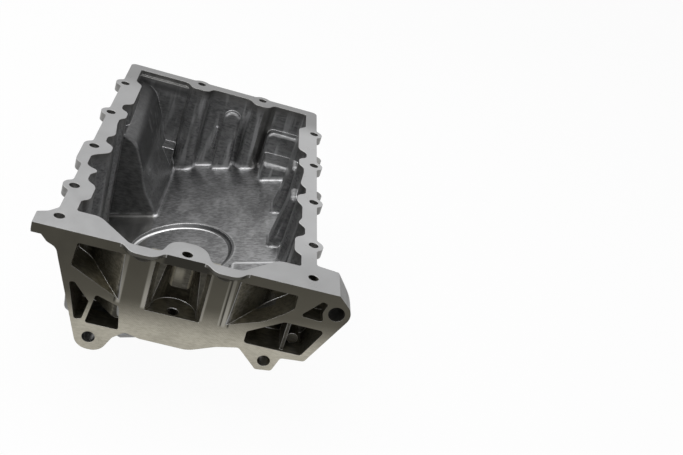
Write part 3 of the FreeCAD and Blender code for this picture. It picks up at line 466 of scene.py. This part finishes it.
class CastAluminium(Finish):
    """Die-cast skin, with the rail's face and the gearbox-end face milled bright."""

    def __init__(self):
        super().__init__(bpy.data.materials.new("cast_aluminium"))
        self.read_place()
        self.find_regions()
        self.make_patterns()
        self.make_edges()
        self.finish_casting()

    def read_place(self):
        """Where the point is, in millimetres, which way its face looks, and its height over the floor."""
        self.point = self.place()
        self.x, self.y, self.z = self.stretched(self.point, (1 / MM, 1 / MM, 1 / MM)).split()
        self.normal_x, self.normal_y, self.normal_z = self.facing().split()
        self.depth = -self.z
        self.over_floor = self.z - FLOOR_LEVEL - self.x * FLOOR_FALL - self.y * FLOOR_RISE
        self.upright = abs(self.normal_z).fade(*FLAT_TO_UPRIGHT)

    def find_regions(self):
        """Masks for the regions of the casting that differ in finish."""
        x, y, z = self.x, self.y, self.z
        before_face = y < END_FACE_Y + SKIN_GAP
        self.behind_face = y > END_FACE_Y + SKIN_GAP

        # where the cutters have been, and the boss that they left
        top_milled = (self.normal_z > FLAT) * (abs(z) < FACE_BAND)
        self.end_milled = (self.normal_y < -FLAT) * (abs(y - END_FACE_Y) < FACE_BAND)
        on_boss = (abs(x) < BOSS_HALF_WIDTH) * z.between(BOSS_LOW_Z, BOSS_TOP_Z)
        self.boss_front = on_boss * before_face
        self.milled = top_milled.either(self.end_milled) * (1.0 - self.boss_front)

        # pockets of the end face, without the sump's shelf and the outside that lie in the same block
        left_x, left_z, left_lean = LEFT_EDGE
        right_x, right_z, right_lean = RIGHT_EDGE
        right_of_edge = x + (z - left_z) * left_lean > left_x
        left_of_edge = x - (z - right_z) * right_lean < right_x
        between_edges = right_of_edge * left_of_edge * (x < POCKET_RIGHT_X)
        before_back = (y < POCKET_BACK_Y) * self.behind_face * (self.normal_y < NOT_BACK)
        over_shelf = z - SHELF_LEVEL - x * FLOOR_FALL - y * FLOOR_RISE
        shelf = (self.normal_z > LEANING) * (y > SHELF_FRONT_Y) * (abs(over_shelf) < SHELF_BAND)
        left_wall = (x < LEFT_WALL_X) * (self.normal_x < -LEANING) * (z > LEFT_WALL_LOW_Z)
        block = between_edges * before_back * z.between(POCKET_FOOT_Z, POCKET_TOP_Z)
        self.pockets = (block * (1.0 - shelf) * (1.0 - left_wall)).either(self.boss_front)

        # inside of the sump, without the walls' outer faces
        within = (abs(x) < SUMP_HALF_WIDTH) * (y > SUMP_FRONT_Y) * (self.normal_z > -LEANING)
        rear_outside = (y > REAR_WALL_Y) * (self.normal_y > LOOKING_BACK)
        side_outside = (abs(x) > SIDE_WALL_X) * (x * self.normal_x > SIDE_LOOKING_OUT)
        within = within * self.depth.ramp(*SUMP_SKIN_DEPTH)
        self.inside = within * (1.0 - rear_outside) * (1.0 - side_outside)

        # small places: the lug's bore, the side of the face's lip, and the ledge over the haunch
        from_lug = (x - LUG_X) * (x - LUG_X) + (z - LUG_Z) * (z - LUG_Z)
        self.lug_bore = (from_lug < LUG_BORE_REACH ** 2) * self.behind_face
        self.lip_side = (y < END_FACE_Y - SKIN_GAP) * (z < LIP_TOP_Z)
        self.ledge = (x < HAUNCH_X) * z.ramp(*LEDGE_FADE) * (y > PILLARS_Y) * self.inside

    def make_patterns(self):
        """Random patterns of the cast skin and the cutters' trails, all from 0 to 1."""
        point = self.point
        self.trail = cutter_trail(abs(self.x) - RAIL_CENTRE_X, self.y, CUTTER_FEED)
        self.end_trail = cutter_trail(self.z - END_CUTTER_Z, self.x, END_CUTTER_FEED)
        self.wander = self.noise(point, scale=45.0, detail=3.0)
        self.scratches = self.noise(self.stretched(point, (0.25, 1.0, 1.0)), scale=1100.0)

        # fine grain and soft orange peel
        self.grain = self.noise(point, scale=1500.0, detail=3.0, roughness=0.6)
        self.peel = self.noise(point, scale=210.0, detail=3.0, roughness=0.55)

        # clouds and brushed patches, flow marks along the casting, and upright runs
        self.clouds = self.noise(point, scale=24.0, detail=4.0, roughness=0.6, distortion=0.5)
        across = self.stretched(point, (0.35, 1.0, 1.0))
        self.brushed = self.noise(across, scale=430.0, detail=4.0, roughness=0.62)
        patches = self.clouds * PATCH_CLOUDS + self.brushed * PATCH_BRUSHING
        self.patchy = patches.ramp(*PATCH_CONTRAST)
        along = self.stretched(point, (1.0, 0.30, 1.0))
        self.flow = self.noise(along, scale=70.0, detail=3.0, roughness=0.55, distortion=0.8)
        self.streaks = self.noise(self.stretched(point, (1.0, 1.0, 0.12)), scale=130.0, detail=3.0)

    def make_edges(self):
        """Eased normals, and the mask of the edges that get a painted highlight, on the outside partly worn
        bright.
        """
        self.eased = self.rounded_normal(EDGE_EASING)
        self.finely_eased = self.rounded_normal(MILLED_EASING)
        round_boss = (abs(self.x) < BOSS_ZONE_HALF_WIDTH) * (self.z > BOSS_ZONE_LOW_Z)
        boss_zone = round_boss * (self.y < BOSS_ZONE_BACK_Y)
        plain = self.milled.either(boss_zone).either(self.ledge)
        self.edge = self.turned_away(self.eased).ramp(*EDGE_TURN) * (1.0 - plain)

    def outer_skin(self):
        """Outside of the casting: soft clouds, and painted shade on the lug's side."""
        skin = self.blend(self.clouds.ramp(*CLOUD_CONTRAST), *OUTER_SKIN)
        return self.blend((self.x > LUG_SIDE_X) * self.behind_face, skin, LUG_SIDE_SHADE)

    def sump_skin(self):
        """Inside of the sump: brushed patches, walls painted lighter than the floor, and painted light on
        fillets, edges and pillars.
        """
        floor = self.blend(self.patchy, *FLOOR_SKIN)
        # upright walls painted lighter than the floor: painted light
        skin = self.blend(self.upright, floor, self.blend(self.patchy, *WALL_SKIN_PAINTED_LIGHTER))
        haunch = (self.x < HAUNCH_X) * (self.z > HAUNCH_LOW_Z) * (self.y > HAUNCH_FRONT_Y)
        haunch_top = haunch * self.normal_z.ramp(*HAUNCH_TOP)
        skin = self.blend(haunch_top * HAUNCH_STRENGTH, skin, HAUNCH_SHADE)
        skin = self.foot_light(skin)
        skin = self.ring_light(skin)
        skin = self.step_light(skin)
        on_pillars = self.upright * (self.y > PILLARS_Y) * self.depth.fade(*SHEEN_END)
        sheen = self.streaks.ramp(*SHEEN_RUNS) * on_pillars * SHEEN_STRENGTH
        return self.blend(sheen, skin, PILLAR_SHEEN)

    def foot_light(self, skin):
        """The skin with bright fillets at the floor's edge, which are weaker along the haunch."""
        foot = self.over_floor.ramp(*FOOT_LOW) * self.over_floor.fade(*FOOT_HIGH)
        foot = foot * (self.y > FOOT_FRONT_Y) * self.flow.ramp(*FOOT_FLOW)
        beside_haunch = (self.x < HAUNCH_FOOT_X) * (self.y > HAUNCH_FOOT_Y)
        return self.blend(foot * (1.0 - beside_haunch * HAUNCH_FOOT_LOSS), skin, FOOT_SHINE)

    def ring_light(self, skin):
        """The skin with the round recess: a dark slope between two bright lines, which weaken to the right
        and of which the inner one is bright at the rear."""
        off_x, off_y = self.x - RING_X, self.y - RING_Y
        radius = (off_x * off_x + off_y * off_y).math("SQRT")
        on_floor = self.over_floor.fade(*ON_FLOOR)
        slope = self.band(radius, RING_RADIUS - RING_SLOPE / 2.0, RING_SHADE_HALF_WIDTH)
        skin = self.blend(slope * on_floor * RING_SHADE_STRENGTH, skin, RING_SHADE)
        leftward = 1.0 - off_x.ramp(*RING_RIGHT) * RING_RIGHT_LOSS
        inner_line = self.band(radius, RING_RADIUS - RING_SLOPE - RING_INNER_GAP, RING_INNER_HALF_WIDTH)
        outer_line = self.band(radius, RING_RADIUS + RING_OUTER_GAP, RING_OUTER_HALF_WIDTH)
        lines = inner_line * off_y.ramp(*RING_REAR) + outer_line * RING_OUTER_STRENGTH
        return self.blend(lines * leftward * on_floor, skin, RING_SHINE)

    def step_light(self, skin):
        """The skin with the bright rounded edges of the step at the floor's front."""
        rear = self.band(self.y, STEP_EDGE_Y, STEP_EDGE_Y_HALF_WIDTH) * (self.x > STEP_SIDE_X)
        side = self.band(self.x, STEP_EDGE_X, STEP_EDGE_X_HALF_WIDTH) * (self.y < STEP_REAR_Y)
        side = side * STEP_EDGE_X_STRENGTH
        raised = self.over_floor.ramp(*STEP_LOW) * self.over_floor.fade(*STEP_HIGH)
        return self.blend((rear + side) * raised * (self.y > STEP_FRONT_Y), skin, STEP_SHINE)

    def pocket_skin(self):
        """Pockets, niche and boss in painted shade: what faces out of them is painted darker than their
        sides.
        """
        sides = self.blend(self.patchy, *POCKET_SIDE)
        # what looks out of a pocket gets the darker painted shade
        shaded_backs = self.blend(self.patchy, *POCKET_BACK_SHADE)
        skin = self.blend((-self.normal_y).ramp(*POCKET_OUTWARD), sides, shaded_backs)
        boss_light = self.band(self.x, BOSS_LIGHT_X, BOSS_LIGHT_HALF_WIDTH)
        boss_light = boss_light * self.depth.ramp(*BOSS_LIGHT_START) * self.depth.fade(*BOSS_LIGHT_END)
        return self.blend(boss_light * self.boss_front * BOSS_LIGHT_STRENGTH, skin, BOSS_SHINE)

    def cast_skin(self):
        """Colour of everything that no cutter has touched."""
        skin = self.blend(self.inside, self.outer_skin(), self.sump_skin())
        skin = self.blend(self.pockets, skin, self.pocket_skin())
        skin = self.blend(self.flow.ramp(*FLOW_CONTRAST) * FLOW_STRENGTH, skin, FLOW_MARK)
        # painted highlight on the edges; on the outside it is partly worn bright metal too
        edge_glint = self.blend(self.inside, EDGE_WEAR_AND_GLINT_OUTSIDE, PAINTED_EDGE_GLINT_INSIDE)
        strength = self.mixed(self.inside, EDGE_OUTSIDE, EDGE_INSIDE)
        skin = self.blend(self.edge * strength, skin, edge_glint)
        skin = self.blend(self.lug_bore, skin, BORE_SHADE)
        skin = self.blend(self.lip_side * LIP_SIDE_STRENGTH, skin, LIP_SIDE_SHADE)
        # the ledge over the haunch in painted shade, with a lighter painted line
        ledge_shade = self.blend(self.band(self.z, LEDGE_Z, LEDGE_HALF_WIDTH), *LEDGE_SHADE)
        return self.blend(self.ledge, skin, ledge_shade)

    def end_face(self):
        """Milled gearbox-end face: painted shade near the rail, painted reflection at its foot, painted rim
        highlights and shade lines.
        """
        # painted shade near the rail, with clouds in it
        dull = self.blend((self.depth + self.x * END_SHADE_LEAN).ramp(*END_SHADE_DEPTH), *END_SHADE)
        dull = self.blend(self.wander, dull, END_SHADE_CLOUD)
        # painted reflection towards the foot, blotched at random
        blotches = (self.wander + self.brushed + self.scratches) * BLOTCH_SHARE
        blotches = blotches + self.end_trail * END_TRAIL_SHARE
        bright = self.blend(blotches.ramp(*BLOTCH_CONTRAST), *END_REFLECTION)
        to_foot = (self.depth + self.x * END_REFLECTION_LEAN).ramp(*END_REFLECTION_DEPTH)
        face = self.blend(to_foot, dull, bright)

        # painted highlights on the rims beside the pockets, and painted lines of shade beside them
        beside_pockets = self.depth.ramp(*RIM_START) * self.depth.fade(*RIM_END)
        rim_light = self.blend(self.depth.ramp(*RIM_LIGHTENS), *RIM_LIGHT)
        face = self.blend(self.stripes(self.x, RIMS) * beside_pockets, face, rim_light)
        dark_lines = self.stripes(self.x, PAINTED_SHADE_LINES) * beside_pockets * SHADE_LINE_STRENGTH
        face = self.blend(dark_lines, face, LINE_SHADE)
        lip = abs(self.x - LIP_MIDDLE_X).fade(*LIP_SIDE_FADE) * self.depth.fade(*LIP_LOW_FADE)
        return self.blend(lip, face, LIP_SHADE)

    def rail_face(self):
        """Milled face of the rail, with the cutter's trail in it."""
        swept = self.trail * TRAIL_SHARE + self.wander * CLOUD_SHARE
        left, right = self.blend(swept, *RAIL_LEFT), self.blend(swept, *RAIL_RIGHT)
        face = self.blend(self.x.ramp(*RAIL_BRIGHTER_X) * self.y.ramp(*RAIL_BRIGHTER_Y), left, right)
        return self.blend(self.y.ramp(*RAIL_REAR_Y), face, self.blend(self.wander, *RAIL_REAR))

    def roughness(self):
        """Roughness: the skin's follows its flow marks, the milled faces' their clouds and the trail."""
        skin = self.mixed(self.flow.ramp(*ROUGHNESS_CONTRAST), *SKIN_ROUGHNESS)
        skin = skin + self.grain * GRAIN_ROUGHNESS - self.edge * EDGE_SMOOTHNESS
        face = self.mixed(self.wander.ramp(*ROUGHNESS_CONTRAST), *MILLED_ROUGHNESS)
        rough = self.mixed(self.milled, skin, face + self.trail * TRAIL_ROUGHNESS)
        return self.mixed(self.lug_bore.either(self.ledge), rough, DULL_ROUGHNESS)

    def height(self):
        """Relief: grain, peel and runs of the skin, the boss's roundness, and the cutters' trails."""
        skin = self.grain * GRAIN_HEIGHT + self.peel * PEEL_HEIGHT + self.streaks * self.upright * RUN_HEIGHT
        skin = skin - self.boss_front * self.x * self.x * BOSS_ROUNDNESS
        face = self.mixed(self.end_milled, self.trail, self.end_trail) + self.scratches
        return self.mixed(self.milled, skin, face * CUTTER_HEIGHT)

    def finish_casting(self):
        """Joins colour, roughness and relief in the shader."""
        faces = self.blend(self.end_milled, self.rail_face(), self.end_face())
        colour = self.blend(self.milled, self.cast_skin(), faces)
        smooth = self.blended_normal(self.milled, self.eased, self.finely_eased)
        normal = self.relief(self.height(), RELIEF_DEPTH, smooth)
        self.surface({"Specular IOR Level": 0.5, "Metallic": 0.85},
                     Base_Color=colour, Roughness=self.roughness(), Normal=normal)


def washer_aluminium():
    """Soft annealed aluminium, a little cloudy, with a fine grain."""
    finish = Finish(bpy.data.materials.new("washer_aluminium"))
    place = finish.place()
    dull = finish.noise(place, 240.0, 3.0)
    fine = finish.noise(place, 1500.0)
    colour = finish.blend(dull, grey(0.50, 0.01), grey(0.62, 0.01))
    normal = finish.relief(fine, 0.03 * MM, finish.rounded_normal(0.2 * MM))
    finish.surface({"Metallic": 1.0}, Base_Color=colour, Normal=normal,
                   Roughness=finish.mixed(dull, 0.30, 0.45))
    return finish.owner


def plug_steel():
    """Zinc-plated steel, a little cloudy, with a fine brushed grain round the plug's axis."""
    finish = Finish(bpy.data.materials.new("plug_steel"))
    place = finish.place()
    brushed = finish.noise(finish.stretched(place, (6.0, 0.6, 0.6)), 700.0, 3.0)
    cloudy = finish.noise(place, 120.0, 3.0)
    colour = finish.blend(cloudy, grey(0.40, 0.03), grey(0.52, 0.05))
    normal = finish.relief(brushed, 0.02 * MM, finish.rounded_normal(0.35 * MM))
    finish.surface({"Metallic": 1.0}, Base_Color=colour, Normal=normal,
                   Roughness=finish.mixed(brushed, 0.26, 0.40))
    return finish.owner


# The studio, in metres: half the floor's side, how much of its white is shown, and the world's light
FLOOR_HALF = 9.0
PAPER = grey(0.92)
WHITE = grey(1.0)
SHOWN_WHITE = 0.95
WORLD_LIGHT = 0.32


def studio_floor(level):
    """A wide pale floor at that height, which looks white and keeps a soft shadow. It is a flat square with
    its corners half a side from the middle along x and along y."""
    sides = np.array([(-1, -1), (1, -1), (1, 1), (-1, 1)]) * FLOOR_HALF
    corners = np.column_stack((sides, np.full(len(sides), level)))
    mesh = bpy.data.meshes.new("studio_floor")
    mesh.from_pydata(corners.tolist(), [], [(0, 1, 2, 3)])
    floor = bpy.data.objects.new("studio_floor", mesh)
    bpy.context.scene.collection.objects.link(floor)
    finish = Finish(bpy.data.materials.new("studio_floor"))
    paper = finish.node("ShaderNodeBsdfDiffuse", {}, {"Color": PAPER})
    glow = finish.node("ShaderNodeEmission", {}, {"Color": WHITE, "Strength": 1.0})
    both = finish.node("ShaderNodeMixShader", {}, [finish.shown() * SHOWN_WHITE, paper, glow])
    finish.make("ShaderNodeOutputMaterial", {}, {"Surface": both})
    mesh.materials.append(finish.owner)


def studio_world():
    """White to the eye and in reflections, and a soft grey as a source of light."""
    world = bpy.data.worlds.new("studio")
    bpy.context.scene.world = world
    finish = Finish(world)
    dim = finish.node("ShaderNodeBackground", {}, {"Color": WHITE, "Strength": WORLD_LIGHT})
    white = finish.node("ShaderNodeBackground", {}, {"Color": WHITE, "Strength": 1.0})
    both = finish.node("ShaderNodeMixShader", {}, [finish.shown(), dim, white])
    finish.make("ShaderNodeOutputWorld", {}, {"Surface": both})


def softbox(name, at, aim, width, height, watts):
    """A soft rectangular lamp at a point, turned towards another."""
    lamp = bpy.data.lights.new(name, "AREA")
    lamp.shape = "RECTANGLE"
    lamp.size = width
    lamp.size_y = height
    lamp.energy = watts
    holder = bpy.data.objects.new(name, lamp)
    bpy.context.scene.collection.objects.link(holder)
    holder.location = at
    holder.rotation_euler = (Vector(aim) - Vector(at)).to_track_quat("-Z", "Y").to_euler()


def photo_camera():
    """The camera at the photograph's place, with its lens."""
    lens = bpy.data.cameras.new("photo_camera")
    lens.sensor_fit = "HORIZONTAL"
    lens.sensor_width = SENSOR_WIDTH_MM
    lens.lens = FOCAL_PIXELS * SENSOR_WIDTH_MM / PHOTO_WIDTH
    lens.clip_start = 0.01
    lens.clip_end = 50.0
    camera = bpy.data.objects.new("photo_camera", lens)
    bpy.context.scene.collection.objects.link(camera)
    turn = Matrix((CAMERA_RIGHT, -CAMERA_DOWN, -CAMERA_FORWARD)).transposed()
    camera.matrix_world = Matrix.Translation(CAMERA_AT) @ turn.to_4x4()
    bpy.context.scene.camera = camera


def dress(node, material):
    """Puts the material in every slot of a CAD node."""
    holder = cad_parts[node]
    if not holder.material_slots:
        holder.data.materials.append(material)
    for place in holder.material_slots:
        place.material = material


photo_camera()
studio_world()
studio_floor(CAD_BOX[0][2])
softbox("overhead", at=(-0.45, 0.35, 1.25), aim=(0.0, 0.15, -0.05), width=1.5, height=1.5, watts=15.0)
softbox("front_left", at=(-1.0, -1.0, 0.8), aim=(0.0, 0.1, -0.05), width=0.8, height=0.8, watts=3.5)

dress("pan_casting", CastAluminium().owner)
dress("drain_washer", washer_aluminium())
dress("drain_plug", plug_steel())

bpy.context.scene.view_settings.view_transform = "Standard"
